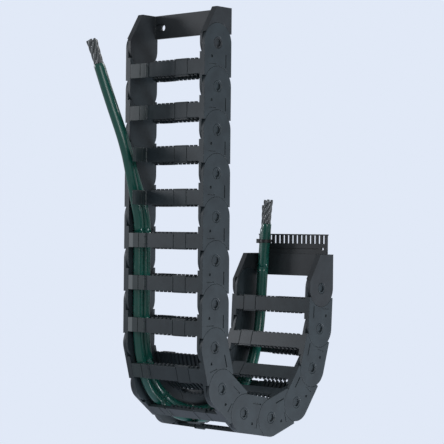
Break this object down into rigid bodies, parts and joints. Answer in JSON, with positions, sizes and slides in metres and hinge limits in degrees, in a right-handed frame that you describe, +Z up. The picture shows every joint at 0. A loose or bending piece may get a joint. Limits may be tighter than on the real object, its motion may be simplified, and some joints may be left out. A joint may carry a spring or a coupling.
{
  "type": "cable drag chain",
  "caption": "Open cable drag chain hanging in a J, with hinged cable gates, bolt-on end brackets, comb strain relief and two sheathed cables.",
  "frame": {"origin": "middle of the upper bracket's two bolt holes, on the face that lies against the wall", "axes": "+X across the chain, +Y out of the upper bracket's mounting face towards the wall, +Z up along the hanging long run"},
  "size_m": [0.1406, 0.2695, 0.4631],
  "materials": {
    "chain_plastic": "satin",
    "gate_plastic": "satin",
    "bracket_plastic": "satin",
    "tie_nylon": "satin",
    "cable_sheath": "satin",
    "core_insulation": "satin"
  },
  "bodies": {
    "top_bracket": {"top_bracket": "bracket_plastic"},
    "link_01_body": {"link_01": "chain_plastic"},
    "gate_01_body": {"gate_01": "gate_plastic"},
    "link_02_body": {"link_02": "chain_plastic"},
    "gate_02_body": {"gate_02": "gate_plastic"},
    "link_03_body": {"link_03": "chain_plastic"},
    "gate_03_body": {"gate_03": "gate_plastic"},
    "link_04_body": {"link_04": "chain_plastic"},
    "gate_04_body": {"gate_04": "gate_plastic"},
    "link_05_body": {"link_05": "chain_plastic", "cables_05": "cable_sheath", "cord_1": "cable_sheath", "cord_2": "cable_sheath", "cord_cores_1": "core_insulation", "cord_cores_2": "core_insulation"},
    "gate_05_body": {"gate_05": "gate_plastic"},
    "link_06_body": {"link_06": "chain_plastic", "cables_06": "cable_sheath"},
    "gate_06_body": {"gate_06": "gate_plastic"},
    "link_07_body": {"link_07": "chain_plastic", "cables_07": "cable_sheath"},
    "gate_07_body": {"gate_07": "gate_plastic"},
    "link_08_body": {"link_08": "chain_plastic", "cables_08": "cable_sheath"},
    "gate_08_body": {"gate_08": "gate_plastic"},
    "link_09_body": {"link_09": "chain_plastic", "cables_09": "cable_sheath"},
    "gate_09_body": {"gate_09": "gate_plastic"},
    "link_10_body": {"link_10": "chain_plastic", "cables_10": "cable_sheath"},
    "gate_10_body": {"gate_10": "gate_plastic"},
    "link_11_body": {"link_11": "chain_plastic", "cables_11": "cable_sheath"},
    "gate_11_body": {"gate_11": "gate_plastic"},
    "link_12_body": {"link_12": "chain_plastic", "cables_12": "cable_sheath"},
    "gate_12_body": {"gate_12": "gate_plastic"},
    "link_13_body": {"link_13": "chain_plastic", "cables_13": "cable_sheath"},
    "gate_13_body": {"gate_13": "gate_plastic"},
    "link_14_body": {"link_14": "chain_plastic", "cables_14": "cable_sheath"},
    "gate_14_body": {"gate_14": "gate_plastic"},
    "lower_bracket_body": {"lower_bracket": "bracket_plastic", "comb": "bracket_plastic", "cable_tie": "tie_nylon", "cable_ends": "cable_sheath", "cores": "core_insulation"}
  },
  "joints": [
    {"name": "pivot_00", "type": "hinge", "parent": "top_bracket", "child": "link_01_body", "pos_m": [0, -0.021, -0.025], "axis": [1, 0, 0], "range_deg": [0, 36]},
    {"name": "pivot_01", "type": "hinge", "parent": "link_01_body", "child": "link_02_body", "pos_m": [0, -0.021, -0.071], "axis": [-1, 0, 0], "range_deg": [-36, 0]},
    {"name": "pivot_02", "type": "hinge", "parent": "link_02_body", "child": "link_03_body", "pos_m": [0, -0.021, -0.117], "axis": [1, 0, 0], "range_deg": [0, 36]},
    {"name": "pivot_03", "type": "hinge", "parent": "link_03_body", "child": "link_04_body", "pos_m": [0, -0.021, -0.163], "axis": [-1, 0, 0], "range_deg": [-36, 0]},
    {"name": "pivot_04", "type": "hinge", "parent": "link_04_body", "child": "link_05_body", "pos_m": [0, -0.021, -0.209], "axis": [1, 0, 0], "range_deg": [0, 36]},
    {"name": "pivot_05", "type": "hinge", "parent": "link_05_body", "child": "link_06_body", "pos_m": [0, -0.021, -0.255], "axis": [-1, 0, 0], "range_deg": [-36, 0]},
    {"name": "pivot_06", "type": "hinge", "parent": "link_06_body", "child": "link_07_body", "pos_m": [0, -0.021, -0.301], "axis": [1, 0, 0], "range_deg": [0, 36]},
    {"name": "pivot_07", "type": "hinge", "parent": "link_07_body", "child": "link_08_body", "pos_m": [0, -0.021, -0.347], "axis": [-1, 0, 0], "range_deg": [-20.88, 15.12]},
    {"name": "pivot_08", "type": "hinge", "parent": "link_08_body", "child": "link_09_body", "pos_m": [0, -0.009, -0.39141], "axis": [1, 0, 0], "range_deg": [-36, 0]},
    {"name": "pivot_09", "type": "hinge", "parent": "link_09_body", "child": "link_10_body", "pos_m": [0, 0.02681, -0.42028], "axis": [-1, 0, 0], "range_deg": [-7.56, 28.44]},
    {"name": "pivot_10", "type": "hinge", "parent": "link_10_body", "child": "link_11_body", "pos_m": [0, 0.07205, -0.42862], "axis": [1, 0, 0], "range_deg": [-27.36, 8.64]},
    {"name": "pivot_11", "type": "hinge", "parent": "link_11_body", "child": "link_12_body", "pos_m": [0, 0.11606, -0.41523], "axis": [-1, 0, 0], "range_deg": [0, 36]},
    {"name": "pivot_12", "type": "hinge", "parent": "link_12_body", "child": "link_13_body", "pos_m": [0, 0.14379, -0.37853], "axis": [1, 0, 0], "range_deg": [-20.52, 15.48]},
    {"name": "pivot_13", "type": "hinge", "parent": "link_13_body", "child": "link_14_body", "pos_m": [0, 0.1569, -0.33444], "axis": [-1, 0, 0], "range_deg": [-22.32, 13.68]},
    {"name": "pivot_14", "type": "hinge", "parent": "link_14_body", "child": "lower_bracket_body", "pos_m": [0, 0.15921, -0.2885], "axis": [1, 0, 0], "range_deg": [-2.88, 33.12]},
    {"name": "gate_hinge_01", "type": "hinge", "parent": "link_01_body", "child": "gate_01_body", "pos_m": [-0.026, -0.0418, -0.0507], "axis": [0, 0, 1], "range_deg": [0, 120]},
    {"name": "gate_hinge_02", "type": "hinge", "parent": "link_02_body", "child": "gate_02_body", "pos_m": [-0.026, -0.0418, -0.0967], "axis": [0, 0, 1], "range_deg": [0, 120]},
    {"name": "gate_hinge_03", "type": "hinge", "parent": "link_03_body", "child": "gate_03_body", "pos_m": [-0.026, -0.0418, -0.1427], "axis": [0, 0, 1], "range_deg": [-28, 12]},
    {"name": "gate_hinge_04", "type": "hinge", "parent": "link_04_body", "child": "gate_04_body", "pos_m": [-0.026, -0.0418, -0.1887], "axis": [0, 0, 1], "range_deg": [-28, 12]},
    {"name": "gate_hinge_05", "type": "hinge", "parent": "link_05_body", "child": "gate_05_body", "pos_m": [-0.026, -0.0418, -0.2347], "axis": [0, 0, 1], "range_deg": [0, 120]},
    {"name": "gate_hinge_06", "type": "hinge", "parent": "link_06_body", "child": "gate_06_body", "pos_m": [-0.026, -0.0418, -0.2807], "axis": [0, 0, 1], "range_deg": [0, 120]},
    {"name": "gate_hinge_07", "type": "hinge", "parent": "link_07_body", "child": "gate_07_body", "pos_m": [-0.026, -0.0418, -0.3267], "axis": [0, 0, 1], "range_deg": [0, 120]},
    {"name": "gate_hinge_08", "type": "hinge", "parent": "link_08_body", "child": "gate_08_body", "pos_m": [-0.026, -0.03438, -0.37724], "axis": [0, -0.2608, 0.9654], "range_deg": [0, 120]},
    {"name": "gate_hinge_09", "type": "hinge", "parent": "link_09_body", "child": "gate_09_body", "pos_m": [-0.026, -0.00205, -0.42373], "axis": [0, -0.7785, 0.6277], "range_deg": [0, 120]},
    {"name": "gate_hinge_10", "type": "hinge", "parent": "link_10_body", "child": "gate_10_body", "pos_m": [-0.026, 0.04831, -0.44539], "axis": [0, -0.9834, 0.1812], "range_deg": [0, 120]},
    {"name": "gate_hinge_11", "type": "hinge", "parent": "link_11_body", "child": "gate_11_body", "pos_m": [-0.026, 0.10269, -0.44104], "axis": [0, -0.9567, -0.291], "range_deg": [0, 120]},
    {"name": "gate_hinge_12", "type": "hinge", "parent": "link_12_body", "child": "gate_12_body", "pos_m": [-0.026, 0.14814, -0.40727], "axis": [0, -0.6029, -0.7978], "range_deg": [0, 120]},
    {"name": "gate_hinge_13", "type": "hinge", "parent": "link_13_body", "child": "gate_13_body", "pos_m": [-0.026, 0.17105, -0.35983], "axis": [0, -0.285, -0.9585], "range_deg": [0, 120]},
    {"name": "gate_hinge_14", "type": "hinge", "parent": "link_14_body", "child": "gate_14_body", "pos_m": [-0.026, 0.17897, -0.30982], "axis": [0, -0.0502, -0.9987], "range_deg": [0, 120]}
  ]
}
